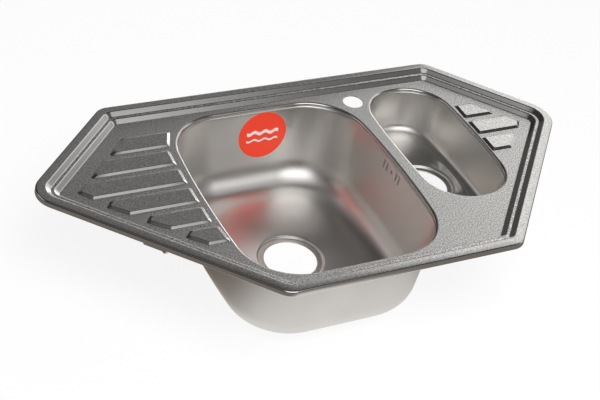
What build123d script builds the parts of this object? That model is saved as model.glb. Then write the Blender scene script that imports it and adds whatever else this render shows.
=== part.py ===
from build123d import *
import os
from math import atan2, cos, hypot, pi, radians, sin, sqrt, tan

# Corner kitchen sink with one large and one small bowl, pressed and drawn from steel sheet.
# Millimetres. X runs along the straight back edge, Y towards the back, Z up. The origin is on the
# worktop's surface, on the middle line of the sealing strip, halfway along the sink.

os.makedirs("parts", exist_ok=True)

# ---------------------------------------------------------------- sheet and outline
sheet = 0.8
sink_depth = 500.0
seat_line = 8.5                # sealing strip's middle line, in from the outer edge
left_tip_reach = 264.45        # sharp corners' reach beyond the outer edges of the two bowls' openings
left_back_reach = 87.55
left_front_reach = -28.75
right_tip_reach = 173.9
right_back_reach = 10.8
right_front_reach = -92.5
left_tip_from_front = 313.0
right_tip_from_front = 300.5
corner_round = 30.0
left_tip_round = 42.0
right_tip_round = 52.0
least_round = 8.0              # tightest corner of an inner line in plan

# ---------------------------------------------------------------- rim section
rim_top = 11.0
lip_round = 3.0
first_crest = 16.4             # lines of the two steps, in from the outer edge
first_foot = 23.7
second_crest = 29.6
second_foot = 36.8
step_drop = 6.5
terrace_z = rim_top - step_drop
floor_z = terrace_z - step_drop
step_angle = atan2(step_drop, first_foot - first_crest)
sheet_shift = sheet * tan(step_angle / 2)   # how far a step's crease moves out on the lower side

# ---------------------------------------------------------------- drainer pads
pad_rise = 3.0
pad_slope = 4.6                # width of a pad's sloping side
pad_gap = 18.6                 # between the tops of neighbouring pads
pad_back = 71.2                # back edge of the first pad's top, from the seat line
pad_front = 146.1              # front edge of the last pad's top, from the sink's front edge
left_pad_rear_gap = 65.8       # from the sink's slanted sides to the tops of the pads
right_pad_rear_gap = 59.8
# gaps from the main bowl's opening to each left pad's top, at its back and front edge
left_pad_bowl_gaps = ((25.9, 19.2), (20.8, 19.8), (18.7, 18.4), (17.8, 17.4), (17.3, 17.8), (12.3, 9.6))
# pads with a tip: tip and front corner in from the front side, tip below and beyond the back corner
left_pad_tips = {2: (59.5, 58.5, 14.5, 15.1), 3: (52.6, 55.4, 9.1, 7.1),
                 4: (52.4, 56.6, 9.1, 7.0), 5: (51.5, 54.0, 8.5, 8.0)}
right_pad_bowl_gaps = {1: (14.4, 11.9), 2: (11.0, 10.3), 3: (9.7, 9.8)}
right_pad_tips = {2: (61.7, 59.9, 18.1, 14.3), 3: (60.3, 61.5, 6.1, 4.1)}
pad_count = len(left_pad_bowl_gaps)
pad_field = sink_depth - seat_line - pad_back - pad_front
pad_width = (pad_field - (pad_count - 1) * pad_gap) / pad_count
pad_pitch = pad_width + pad_gap
pad_angle = atan2(pad_rise, pad_slope)
pad_shift = sheet * tan(pad_angle / 2)

# ---------------------------------------------------------------- openings and bowls
collar = 6.0                   # height of the turned-down edge round each bowl opening
collar_z = floor_z - collar
opening_round = 3.5
waste_radius = 45.0
recess_radius = 57.0
small_recess_radius = 55.0
recess_depth = 4.0

main_x = -44.5
main_width = 341.5
main_back_margin = 50.25       # from the sink's back edge to the opening
main_front_margin = 44.25
main_length = sink_depth - main_back_margin - main_front_margin
main_y = seat_line - main_back_margin - main_length / 2
main_side_bow = 12.5
main_end_bow = 2.0
main_corner = 91.0
main_foot_corner = 100.0
main_floor_z = -155.0
main_foot_round = 42.0
main_dish_drop = 10.0
main_dish_radius = 116.0
main_left_draft = 1.0          # how far each wall leans in by the floor
main_right_draft = 11.0
main_front_draft = 5.0
main_back_draft = 9.0

bowl_gap = 25.75               # between the two openings
small_width = 154.0
small_x = main_x + main_width / 2 + bowl_gap + small_width / 2
small_back_margin = 52.3
small_front_margin = 139.7
small_length = sink_depth - small_back_margin - small_front_margin
small_y = seat_line - small_back_margin - small_length / 2
small_side_bow = 8.0
small_end_bow = 20.0
small_end_slack = 7.0          # half the width less the corners' radius, at the top and at the foot
small_foot_slack = 17.0
small_corner = small_width / 2 - small_end_slack
small_foot_corner = small_width / 2 - small_foot_slack
small_floor_z = -87.0
small_foot_round = 14.0
small_dish_drop = 11.0
small_dish_radius = 57.0
small_dish_reach = 66.0        # from the waste to the round ends of the sloped floor
small_left_draft = 0.5
small_right_draft = 10.0
small_front_draft = 5.0
small_back_draft = 7.0
small_waste_shift = -6.0       # waste hole from the opening's middle, along X

tap_radius = 17.5
tap_from_main = 11.25          # from the main opening's widest line to the tap's axis
tap_x = main_x + main_width / 2 + tap_from_main
tap_y = -60.7

# ---------------------------------------------------------------- overflow slots and label
overflow_from_back = 242.5
overflow_y = seat_line - overflow_from_back
overflow_z = -25.0
overflow_hole_radius = 2.5
slot_width = 3.6
slot_length = 14.0
slot_near = 14.5               # from the screw hole to the near and far slot of each pair
slot_far = 24.0
wall_cut = 30.0                # length of the cutters that go through the wall
label_radius = 45.0
label_x = -22.5
label_z = -56.0
label_thickness = 0.2
label_gap = 0.02

# ---------------------------------------------------------------- sealing strip and sound pad
strip_width = 10.0
sound_pad_margin = 9.0         # in from the waste's recess
sound_pad_border = 6.0         # in from the dish's outer edge
sound_pad_inner = recess_radius + sound_pad_margin
sound_pad_outer = main_dish_radius - sound_pad_border
sound_pad_thickness = 2.5
sound_pad_gap = 0.05

# ---------------------------------------------------------------- clamps
clamp_inset = 43.0             # screw's axis, in from the outer edge
bracket_width = 12.0
bracket_thickness = 1.5
bracket_span = 18.0            # inside length of the bracket's bridge
bracket_flange = 8.0
bracket_drop = 14.0
bracket_collar_radius = 4.5
bracket_collar = 4.0
screw_radius = 2.5
thread_clearance = 0.05
turn_clearance = 0.08
screw_tip_z = -15.4
claw_z = -35.0                 # underside of the claw with the clamp open
claw_thickness = 2.0
claw_width = 12.0
claw_reach = 34.0
claw_tooth = 5.0
tooth_notch = 4.0
washer_radius = 5.5
washer_thickness = 1.0
washer_gap = 0.02
head_radius = 4.5
head_height = 3.5
drive_slot_width = 1.2
drive_slot_depth = 1.6
back_clamp_left_inset = 62.8   # clamps along the back and front, from the nearest sharp corner
back_clamp_right_inset = 124.8
front_clamp_inset = 50.5


# ---------------------------------------------------------------- plan geometry
front_y = seat_line - sink_depth
left_edge = main_width / 2 - main_x
right_edge = small_x + small_width / 2
left_tip_x = left_edge + left_tip_reach
back_left_x = left_edge + left_back_reach
front_left_x = left_edge + left_front_reach
right_tip_x = right_edge + right_tip_reach
back_right_x = right_edge + right_back_reach
front_right_x = right_edge + right_front_reach
outline = [
    (-back_left_x, seat_line),
    (-left_tip_x, front_y + left_tip_from_front),
    (-front_left_x, front_y),
    (front_right_x, front_y),
    (right_tip_x, front_y + right_tip_from_front),
    (back_right_x, seat_line),
]
outline_rounds = [corner_round, left_tip_round, corner_round, corner_round, right_tip_round, corner_round]


def side_line(index, inset):
    """A point on one side of the outline moved inwards, and the side's unit direction and inward normal."""
    (x0, y0), (x1, y1) = outline[index], outline[(index + 1) % len(outline)]
    length = hypot(x1 - x0, y1 - y0)
    along = ((x1 - x0) / length, (y1 - y0) / length)
    inward = (-along[1], along[0])
    return (x0 + inward[0] * inset, y0 + inward[1] * inset), along, inward


def line_x(index, inset, y):
    """X where a side moved inwards crosses the given Y."""
    (px, py), (ax, ay), _ = side_line(index, inset)
    return px + ax * (y - py) / ay


def crossing(index_a, inset_a, index_b, inset_b):
    """Where two sides, each moved inwards, cross."""
    (px, py), (ax, ay), _ = side_line(index_a, inset_a)
    (qx, qy), (bx, by), _ = side_line(index_b, inset_b)
    step = ((qx - px) * by - (qy - py) * bx) / (ax * by - ay * bx)
    return px + ax * step, py + ay * step


def ring(height, inset):
    """Face of the outline moved inwards, with its corners rounded in step with the outer ones."""
    count = len(outline)
    corners = [crossing(i - 1, inset, i, inset) for i in range(count)]
    with BuildSketch(Plane.XY.offset(height)) as face:
        Polygon(*corners, align=None)
        for corner, outer_round in zip(corners, outline_rounds):
            nearest = face.vertices().sort_by_distance((*corner, 0))[0]
            fillet(nearest, max(outer_round - inset, least_round))
    return face.sketch


def barrel(height, x, y, width, length, side_bow, end_bow, corner):
    """Face of a bowl's outline: four bowed sides with rounded corners."""
    half_w, half_l = width / 2, length / 2
    corner_x, corner_y = half_w - side_bow, half_l - end_bow
    with BuildSketch(Plane.XY.offset(height)) as face:
        with BuildLine():
            ThreePointArc((x + corner_x, y - corner_y), (x + half_w, y), (x + corner_x, y + corner_y))
            ThreePointArc((x + corner_x, y + corner_y), (x, y + half_l), (x - corner_x, y + corner_y))
            ThreePointArc((x - corner_x, y + corner_y), (x - half_w, y), (x - corner_x, y - corner_y))
            ThreePointArc((x - corner_x, y - corner_y), (x, y - half_l), (x + corner_x, y - corner_y))
        make_face()
        fillet(face.vertices(), corner)
    return face.sketch


def main_section(height, grow):
    """Main bowl's outline at a height, moved outwards by grow."""
    share = (collar_z - height) / (collar_z - main_floor_z)
    left, right = main_left_draft * share, main_right_draft * share
    front, back = main_front_draft * share, main_back_draft * share
    return barrel(
        height, main_x + (left - right) / 2, main_y + (front - back) / 2,
        main_width - left - right + 2 * grow, main_length - front - back + 2 * grow,
        main_side_bow, main_end_bow, main_corner + (main_foot_corner - main_corner) * share + grow)


def small_section(height, grow):
    """Small bowl's outline at a height, moved outwards by grow."""
    share = (collar_z - height) / (collar_z - small_floor_z)
    left, right = small_left_draft * share, small_right_draft * share
    front, back = small_front_draft * share, small_back_draft * share
    return barrel(
        height, small_x + (left - right) / 2, small_y + (front - back) / 2,
        small_width - left - right + 2 * grow, small_length - front - back + 2 * grow,
        small_side_bow, small_end_bow, small_corner + (small_foot_corner - small_corner) * share + grow)


def bowl_edge(x, y, width, length, side_bow, end_bow, corner, at_y):
    """Half the opening's width at a Y, following the bowed side and then the rounded corner."""
    half_w, half_l = width / 2, length / 2
    side_radius = ((half_l - end_bow) ** 2 + side_bow ** 2) / (2 * side_bow)
    end_radius = ((half_w - side_bow) ** 2 + end_bow ** 2) / (2 * end_bow)
    side_middle, end_middle = half_w - side_radius, half_l - end_radius
    near, far = side_radius - corner, end_radius - corner
    gap = hypot(side_middle, end_middle)
    along = (near ** 2 - far ** 2 + gap ** 2) / (2 * gap)
    across = sqrt(near ** 2 - along ** 2)
    ux, uy = -side_middle / gap, end_middle / gap
    corner_x = side_middle + ux * along + abs(uy) * across
    corner_y = uy * along + abs(ux) * across
    offset_y = abs(at_y - y)
    if offset_y * (corner_x - side_middle) <= corner_y * (half_w - side_middle):
        side_share = side_radius ** 2 - offset_y ** 2
        arc_x = side_middle + sqrt(side_share)
    else:
        arc_x = half_w
    round_share = corner ** 2 - max(offset_y - corner_y, 0) ** 2
    round_x = corner_x + sqrt(max(round_share, 0))
    return min(arc_x, round_x) if offset_y > corner_y else arc_x


def main_left_edge(at_y):
    """X of the main bowl opening's left edge at a Y."""
    return main_x - bowl_edge(main_x, main_y, main_width, main_length, main_side_bow, main_end_bow,
                              main_corner, at_y)


def small_right_edge(at_y):
    """X of the small bowl opening's right edge at a Y."""
    return small_x + bowl_edge(small_x, small_y, small_width, small_length, small_side_bow,
                               small_end_bow, small_corner, at_y)


def left_pad(index):
    """Corners of the top of one left-hand drainer pad."""
    back = -pad_back - index * pad_pitch
    front = back - pad_width
    back_gap, front_gap = left_pad_bowl_gaps[index]
    corners = [(main_left_edge(front) - front_gap, front), (main_left_edge(back) - back_gap, back)]
    if index not in left_pad_tips:
        return corners + [(line_x(0, left_pad_rear_gap, back), back),
                          (line_x(0, left_pad_rear_gap, front), front)]
    tip_gap, corner_gap, drop, lead = left_pad_tips[index]
    tip = (line_x(1, tip_gap, back - drop), back - drop)
    return corners + [(tip[0] + lead, back), tip, (line_x(1, corner_gap, front), front)]


def right_pad(index):
    """Corners of the top of one right-hand drainer pad."""
    back = -pad_back - index * pad_pitch
    front = back - pad_width
    back_gap, front_gap = right_pad_bowl_gaps[index]
    corners = [(small_right_edge(back) + back_gap, back), (small_right_edge(front) + front_gap, front)]
    if index not in right_pad_tips:
        return corners + [(line_x(4, right_pad_rear_gap, front), front),
                          (line_x(4, right_pad_rear_gap, back), back)]
    tip_gap, corner_gap, drop, lead = right_pad_tips[index]
    tip = (line_x(3, tip_gap, back - drop), back - drop)
    return corners + [(line_x(3, corner_gap, front), front), tip, (tip[0] - lead, back)]


pads = [left_pad(i) for i in range(len(left_pad_bowl_gaps))] + [right_pad(i) for i in right_pad_bowl_gaps]


def pad_face(corners, height, grow):
    """Face of a pad's outline moved outwards by grow."""
    with BuildSketch(Plane.XY.offset(height)) as face:
        Polygon(*corners, align=None)
        offset(amount=grow, kind=Kind.INTERSECTION)
    return face.sketch


# ---------------------------------------------------------------- deck
# The space under the sheet is shaped first; the deck is what is left of the block above it.
with BuildPart() as under_deck:
    extrude(to_extrude=ring(collar_z - sheet, sheet), amount=rim_top - collar_z)
    fillet(under_deck.faces().sort_by(Axis.Z)[-1].edges(), lip_round - sheet)
    loft(sections=[ring(rim_top - sheet, first_crest - sheet_shift),
                   ring(terrace_z - sheet, first_foot - sheet_shift)], ruled=True, mode=Mode.SUBTRACT)
    loft(sections=[ring(terrace_z - sheet, second_crest - sheet_shift),
                   ring(floor_z - sheet, second_foot - sheet_shift)], ruled=True, mode=Mode.SUBTRACT)
    for opening in (main_section(collar_z, sheet), small_section(collar_z, sheet)):
        extrude(to_extrude=opening, amount=collar - sheet, mode=Mode.SUBTRACT)
        extrude(to_extrude=opening, amount=-2 * sheet, mode=Mode.SUBTRACT)
    fillet(under_deck.edges().filter_by_position(Axis.Z, floor_z - sheet, floor_z - sheet)
           .filter_by(lambda edge: edge.geom_type == GeomType.CIRCLE and edge.radius > corner_round),
           opening_round - sheet)
    for corners in pads:
        loft(sections=[pad_face(corners, floor_z - sheet, pad_slope - pad_shift),
                       pad_face(corners, floor_z + pad_rise - sheet, -pad_shift)], ruled=True)

with BuildPart() as deck:
    extrude(to_extrude=ring(0, 0), amount=rim_top)
    fillet(deck.faces().sort_by(Axis.Z)[-1].edges(), lip_round)
    extrude(to_extrude=ring(collar_z, second_crest), amount=-collar_z)
    loft(sections=[ring(rim_top, first_crest), ring(terrace_z, first_foot)], ruled=True, mode=Mode.SUBTRACT)
    loft(sections=[ring(terrace_z, second_crest), ring(floor_z, second_foot)], ruled=True,
         mode=Mode.SUBTRACT)
    for opening in (main_section(collar_z, 0), small_section(collar_z, 0)):
        extrude(to_extrude=opening, amount=collar, mode=Mode.SUBTRACT)
    fillet(deck.edges().filter_by_position(Axis.Z, floor_z, floor_z)
           .filter_by(lambda edge: edge.geom_type == GeomType.CIRCLE and edge.radius > corner_round),
           opening_round)
    for corners in pads:
        loft(sections=[pad_face(corners, floor_z, pad_slope),
                       pad_face(corners, floor_z + pad_rise, 0)], ruled=True)
    add(under_deck.part, mode=Mode.SUBTRACT)
    with BuildSketch(Plane.XY.offset(floor_z)):
        with Locations((tap_x, tap_y)):
            Circle(tap_radius)
    extrude(amount=-2 * sheet, mode=Mode.SUBTRACT)

deck.part.label = "deck"
export_step(deck.part, "parts/deck.step")

# ---------------------------------------------------------------- main bowl
with BuildPart() as main_cavity:
    loft(sections=[main_section(collar_z, 0), main_section(main_floor_z, 0)], ruled=True)
    fillet(main_cavity.faces().sort_by(Axis.Z)[0].edges(), main_foot_round)
    with BuildSketch(Plane.XY.offset(main_floor_z)):
        with Locations((main_x, main_y)):
            Circle(main_dish_radius)
    with BuildSketch(Plane.XY.offset(main_floor_z - main_dish_drop)):
        with Locations((main_x, main_y)):
            Circle(recess_radius)
    loft(ruled=True)
    with BuildSketch(Plane.XY.offset(main_floor_z - main_dish_drop)):
        with Locations((main_x, main_y)):
            Circle(recess_radius)
    extrude(amount=-recess_depth)

with BuildPart() as main_bowl:
    loft(sections=[main_section(collar_z, sheet), main_section(main_floor_z - sheet, sheet)], ruled=True)
    fillet(main_bowl.faces().sort_by(Axis.Z)[0].edges(), main_foot_round + sheet)
    with BuildSketch(Plane.XY.offset(main_floor_z - sheet)):
        with Locations((main_x, main_y)):
            Circle(main_dish_radius + sheet)
    with BuildSketch(Plane.XY.offset(main_floor_z - main_dish_drop - sheet)):
        with Locations((main_x, main_y)):
            Circle(recess_radius + sheet)
    loft(ruled=True)
    with BuildSketch(Plane.XY.offset(main_floor_z - main_dish_drop - sheet)):
        with Locations((main_x, main_y)):
            Circle(recess_radius + sheet)
    extrude(amount=-recess_depth)
    add(main_cavity.part, mode=Mode.SUBTRACT)
    with BuildSketch(Plane.XY.offset(main_floor_z - main_dish_drop)):
        with Locations((main_x, main_y)):
            Circle(waste_radius)
    extrude(amount=-recess_depth - 2 * sheet, mode=Mode.SUBTRACT)
    with BuildSketch(Plane.YZ.offset(main_x + main_width / 2 - wall_cut / 2)):
        with Locations((overflow_y, overflow_z)):
            Circle(overflow_hole_radius)
        with Locations(*[(overflow_y + shift, overflow_z) for shift in
                         (-slot_far, -slot_near, slot_near, slot_far)]):
            SlotOverall(slot_length, slot_width, rotation=90)
    extrude(amount=wall_cut, mode=Mode.SUBTRACT)

main_bowl.part.label = "main_bowl"
export_step(main_bowl.part, "parts/main_bowl.step")

# ---------------------------------------------------------------- small bowl
small_waste_x = small_x + small_waste_shift


def small_dish(height, radius, reach):
    """Long round-ended face about the small bowl's waste."""
    with BuildSketch(Plane.XY.offset(height)) as face:
        with Locations((small_waste_x, small_y)):
            SlotCenterToCenter(2 * reach, 2 * radius, rotation=90)
    return face.sketch


with BuildPart() as small_cavity:
    loft(sections=[small_section(collar_z, 0), small_section(small_floor_z, 0)], ruled=True)
    fillet(small_cavity.faces().sort_by(Axis.Z)[0].edges(), small_foot_round)
    loft(sections=[small_dish(small_floor_z, small_dish_radius, small_dish_reach),
                   small_dish(small_floor_z - small_dish_drop, small_recess_radius, sheet)], ruled=True)
    with BuildSketch(Plane.XY.offset(small_floor_z - small_dish_drop)):
        with Locations((small_waste_x, small_y)):
            Circle(small_recess_radius)
    extrude(amount=-recess_depth)

with BuildPart() as small_bowl:
    loft(sections=[small_section(collar_z, sheet), small_section(small_floor_z - sheet, sheet)], ruled=True)
    fillet(small_bowl.faces().sort_by(Axis.Z)[0].edges(), small_foot_round + sheet)
    loft(sections=[small_dish(small_floor_z - sheet, small_dish_radius + sheet, small_dish_reach),
                   small_dish(small_floor_z - small_dish_drop - sheet, small_recess_radius + sheet, sheet)],
         ruled=True)
    with BuildSketch(Plane.XY.offset(small_floor_z - small_dish_drop - sheet)):
        with Locations((small_waste_x, small_y)):
            Circle(small_recess_radius + sheet)
    extrude(amount=-recess_depth)
    add(small_cavity.part, mode=Mode.SUBTRACT)
    with BuildSketch(Plane.XY.offset(small_floor_z - small_dish_drop)):
        with Locations((small_waste_x, small_y)):
            Circle(waste_radius)
    extrude(amount=-recess_depth - 2 * sheet, mode=Mode.SUBTRACT)

small_bowl.part.label = "small_bowl"
export_step(small_bowl.part, "parts/small_bowl.step")

# ---------------------------------------------------------------- label on the main bowl's back wall
with BuildPart() as label:
    loft(sections=[main_section(collar_z, -label_gap), main_section(main_floor_z, -label_gap)], ruled=True)
    loft(sections=[main_section(collar_z, -label_gap - label_thickness),
                   main_section(main_floor_z, -label_gap - label_thickness)], ruled=True,
         mode=Mode.SUBTRACT)
    with BuildSketch(Plane.XZ.offset(-main_y)):
        with Locations((label_x, label_z)):
            Circle(label_radius)
    extrude(amount=-main_length, mode=Mode.INTERSECT)

label.part.label = "label"
export_step(label.part, "parts/label.step")

# ---------------------------------------------------------------- sealing strip under the rim
with BuildPart() as rim_gasket:
    extrude(to_extrude=ring(0, seat_line - strip_width / 2), amount=rim_top - sheet)
    extrude(to_extrude=ring(0, seat_line + strip_width / 2), amount=rim_top - sheet, mode=Mode.SUBTRACT)

rim_gasket.part.label = "rim_gasket"
export_step(rim_gasket.part, "parts/rim_gasket.step")

# ---------------------------------------------------------------- sound pad under the main bowl's floor
dish_slope = main_dish_drop / (main_dish_radius - recess_radius)


def dish_under(radius):
    """Height of the underside of the main bowl's dished floor at a radius, less the glue gap."""
    return main_floor_z - sheet - sound_pad_gap - dish_slope * (main_dish_radius + sheet - radius)


with BuildPart() as sound_pad:
    with BuildSketch(Plane(origin=(main_x, main_y, 0), x_dir=(1, 0, 0), z_dir=(0, -1, 0))):
        Polygon((sound_pad_inner, dish_under(sound_pad_inner)),
                (sound_pad_outer, dish_under(sound_pad_outer)),
                (sound_pad_outer, dish_under(sound_pad_outer) - sound_pad_thickness),
                (sound_pad_inner, dish_under(sound_pad_inner) - sound_pad_thickness), align=None)
    revolve(axis=Axis((main_x, main_y, 0), (0, 0, 1)))

sound_pad.part.label = "sound_pad"
export_step(sound_pad.part, "parts/sound_pad.step")


# ---------------------------------------------------------------- clamps under the rim
def clamp_place(index, share):
    """Screw's axis at a share of one side's length, and the side's outward angle in radians."""
    (px, py), (ax, ay), (nx, ny) = side_line(index, clamp_inset)
    (x0, y0), (x1, y1) = outline[index], outline[(index + 1) % len(outline)]
    run = hypot(x1 - x0, y1 - y0) * share
    return px + ax * run, py + ay * run, atan2(-ny, -nx)


def share_at_x(index, x):
    """Share of one side's length at which it passes an X."""
    (x0, _), (x1, _) = outline[index], outline[(index + 1) % len(outline)]
    return (x - x0) / (x1 - x0)


middle = 0.5
clamp_places = [
    clamp_place(0, middle),
    clamp_place(1, middle),
    clamp_place(2, share_at_x(2, front_right_x - front_clamp_inset)),
    clamp_place(3, middle),
    clamp_place(4, middle),
    clamp_place(5, share_at_x(5, back_right_x - back_clamp_right_inset)),
    clamp_place(5, share_at_x(5, back_clamp_left_inset - back_left_x)),
]
under_z = floor_z - sheet
web_z = under_z - bracket_drop
claw_top = claw_z + claw_thickness
washer_top = claw_z - washer_gap
head_top = washer_top - washer_thickness - washer_gap

for number, (clamp_x, clamp_y, outward) in enumerate(clamp_places, start=1):
    # local X runs along the sink's side, local Y points out of the sink
    base = Plane(origin=(clamp_x, clamp_y, 0), x_dir=(sin(outward), -cos(outward), 0), z_dir=(0, 0, 1))
    side_view = Plane(origin=(clamp_x, clamp_y, 0), x_dir=(sin(outward), -cos(outward), 0),
                      z_dir=(-cos(outward), -sin(outward), 0))
    bridge = bracket_span + 2 * bracket_thickness
    foot = bridge + 2 * bracket_flange

    with BuildPart() as bracket:
        with BuildSketch(side_view):
            with Locations((0, under_z)):
                Rectangle(foot, bracket_thickness, align=(Align.CENTER, Align.MAX))
                Rectangle(bridge, bracket_drop, align=(Align.CENTER, Align.MAX))
                Rectangle(bracket_span, bracket_drop - bracket_thickness, align=(Align.CENTER, Align.MAX),
                          mode=Mode.SUBTRACT)
        extrude(amount=bracket_width / 2, both=True)
        with BuildSketch(base.offset(web_z)):
            Circle(bracket_collar_radius)
        extrude(amount=-bracket_collar)
        with BuildSketch(base.offset(under_z)):
            Circle(screw_radius + thread_clearance)
        extrude(amount=-bracket_drop - bracket_collar, mode=Mode.SUBTRACT)
    bracket.part.label = f"bracket_{number}"
    export_step(bracket.part, f"parts/bracket_{number}.step")

    with BuildPart() as screw:
        with BuildSketch(base.offset(head_top)):
            Circle(screw_radius)
        extrude(amount=screw_tip_z - head_top)
        chamfer(screw.faces().sort_by(Axis.Z)[-1].edges(), screw_radius / 3)
        with BuildSketch(base.offset(head_top)):
            Circle(head_radius)
        extrude(amount=-head_height)
        fillet(screw.faces().sort_by(Axis.Z)[0].edges(), head_height / 4)
        with BuildSketch(base.offset(head_top - head_height)):
            Rectangle(2 * head_radius, drive_slot_width)
        extrude(amount=drive_slot_depth, mode=Mode.SUBTRACT)
    screw.part.label = f"screw_{number}"
    export_step(screw.part, f"parts/screw_{number}.step")

    with BuildPart() as washer:
        with BuildSketch(base.offset(washer_top)):
            Circle(washer_radius)
            Circle(screw_radius + turn_clearance, mode=Mode.SUBTRACT)
        extrude(amount=-washer_thickness)
    washer.part.label = f"washer_{number}"
    export_step(washer.part, f"parts/washer_{number}.step")

    with BuildPart() as claw:
        with BuildSketch(base.offset(claw_z)) as claw_plan:
            with Locations((-claw_width / 2, 0)):
                Rectangle(claw_reach + claw_width / 2, claw_width, align=(Align.MIN, Align.CENTER))
            fillet(claw_plan.vertices().sort_by(Axis.X)[:2], claw_width / 3)
        extrude(amount=claw_thickness)
        with BuildSketch(base.offset(claw_top)):
            with Locations((claw_reach, 0)):
                Rectangle(claw_thickness, claw_width, align=(Align.MAX, Align.CENTER))
                Rectangle(claw_thickness, tooth_notch, align=(Align.MAX, Align.CENTER), mode=Mode.SUBTRACT)
        extrude(amount=claw_tooth)
        with BuildSketch(base.offset(claw_z)):
            Circle(screw_radius + turn_clearance)
        extrude(amount=claw_thickness, mode=Mode.SUBTRACT)
    claw.part.label = f"claw_{number}"
    export_step(claw.part, f"parts/claw_{number}.step")
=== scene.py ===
"""Looks of a corner kitchen sink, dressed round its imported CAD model.

Sizes in the fields are millimetres. Every mesh is in metres, in the CAD frame: X along the straight
back edge, Y towards the back, Z up, with the worktop's surface at zero.
"""

import logging
import math
from dataclasses import dataclass, field
from enum import Enum
from typing import Mapping, Optional, Sequence, Union

import bmesh
import bpy
import numpy as np
from mathutils import Matrix, Vector
from mathutils.geometry import delaunay_2d_cdt


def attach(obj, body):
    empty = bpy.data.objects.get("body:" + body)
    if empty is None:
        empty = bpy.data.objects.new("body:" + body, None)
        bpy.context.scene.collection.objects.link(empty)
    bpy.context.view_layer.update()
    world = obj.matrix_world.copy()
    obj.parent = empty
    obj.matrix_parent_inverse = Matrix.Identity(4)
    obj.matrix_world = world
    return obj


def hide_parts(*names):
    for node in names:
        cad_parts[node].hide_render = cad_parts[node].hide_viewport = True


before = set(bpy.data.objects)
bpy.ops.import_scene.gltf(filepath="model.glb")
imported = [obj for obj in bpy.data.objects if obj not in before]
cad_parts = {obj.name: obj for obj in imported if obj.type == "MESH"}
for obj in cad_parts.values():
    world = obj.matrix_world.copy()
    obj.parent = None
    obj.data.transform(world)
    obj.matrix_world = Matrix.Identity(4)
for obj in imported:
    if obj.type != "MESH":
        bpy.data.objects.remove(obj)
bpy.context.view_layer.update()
LOG = logging.getLogger("sink")
MM = 0.001
SHEET = 0.8                    # thickness of the pressed steel, mm
WELD = 2e-6                    # points of a mesh nearer than this become one, m
CLOSE = 1e-7                   # the same for the points of a fill, mm
TINY = 1e-9                    # least length or area that counts, mm and mm2
SIDE_POINTS, END_POINTS, CORNER_POINTS = 40, 32, 18    # on each part of a bowl's outline
WALL_ROWS, FOOT_ROWS, FLOOR_ROWS = 25, 17, 21          # of a bowl's inner grid

Triple = tuple[float, float, float]
Colour = Triple
Span = tuple[float, float]
Value = Union[float, "Field"]


class Mark(Enum):
    """Values that a mesh keeps at its points for its finish."""

    WORN = "worn"
    OUTSIDE = "outside"


class Op(Enum):
    """Operations of the Math node."""

    ADD = "ADD"
    SUBTRACT = "SUBTRACT"
    MULTIPLY = "MULTIPLY"
    DIVIDE = "DIVIDE"
    MAXIMUM = "MAXIMUM"
    ABSOLUTE = "ABSOLUTE"
    SINE = "SINE"
    SQRT = "SQRT"


# ---------------------------------------- plan curves and profiles
def rounded_line(points: Sequence[Sequence[float]], radii: Sequence[float], steps: int) -> np.ndarray:
    """Rounds the bends of an open line.

    Each bend becomes an arc that touches both runs: its centre lies on the bisector, at the radius
    over the sine of half the inner angle, and the arc's spokes turn evenly from one touch to the other.

    Args:
        points: Corners of the line, first to last.
        radii: One radius for each inner corner.
        steps: Points on each arc.

    Returns:
        The rounded line's points, one row each.
    """
    line = np.asarray(points, float)
    back = line[:-2] - line[1:-1]
    ahead = line[2:] - line[1:-1]
    back /= np.linalg.norm(back, axis=1, keepdims=True)
    ahead /= np.linalg.norm(ahead, axis=1, keepdims=True)
    half = np.arccos(np.clip((back * ahead).sum(1), -1, 1)) / 2
    radius = np.asarray(radii, float)
    bisector = back + ahead
    bisector /= np.linalg.norm(bisector, axis=1, keepdims=True)
    centre = line[1:-1] + bisector * (radius / np.sin(half))[:, None]
    touch = (radius / np.tan(half))[:, None]
    first, last = line[1:-1] + back * touch - centre, line[1:-1] + ahead * touch - centre
    turn = (np.pi - 2 * half)[:, None]
    share = np.linspace(0, 1, steps)[None]
    near, far = np.sin((1 - share) * turn) / np.sin(turn), np.sin(share * turn) / np.sin(turn)
    arcs = centre[:, None] + near[..., None] * first[:, None] + far[..., None] * last[:, None]
    return np.concatenate([line[:1], arcs.reshape(-1, 2), line[-1:]])


def lean(line: np.ndarray, level: float = 0.06, steep: float = 0.4) -> np.ndarray:
    """Share of 0 to 1 by which each point's run leans: a smooth step of its rise over its length.

    Args:
        line: Points (inset, height) of a section.
        level: Rise over length that still counts as level.
        steep: Rise over length that counts in full.

    Returns:
        One value for each point.
    """
    run = np.gradient(line, axis=0)
    length = np.maximum(np.hypot(run[:, 0], run[:, 1]), TINY)
    share = np.clip((np.abs(run[:, 1]) / length - level) / (steep - level), 0, 1)
    return share * share * (3 - 2 * share)


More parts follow.
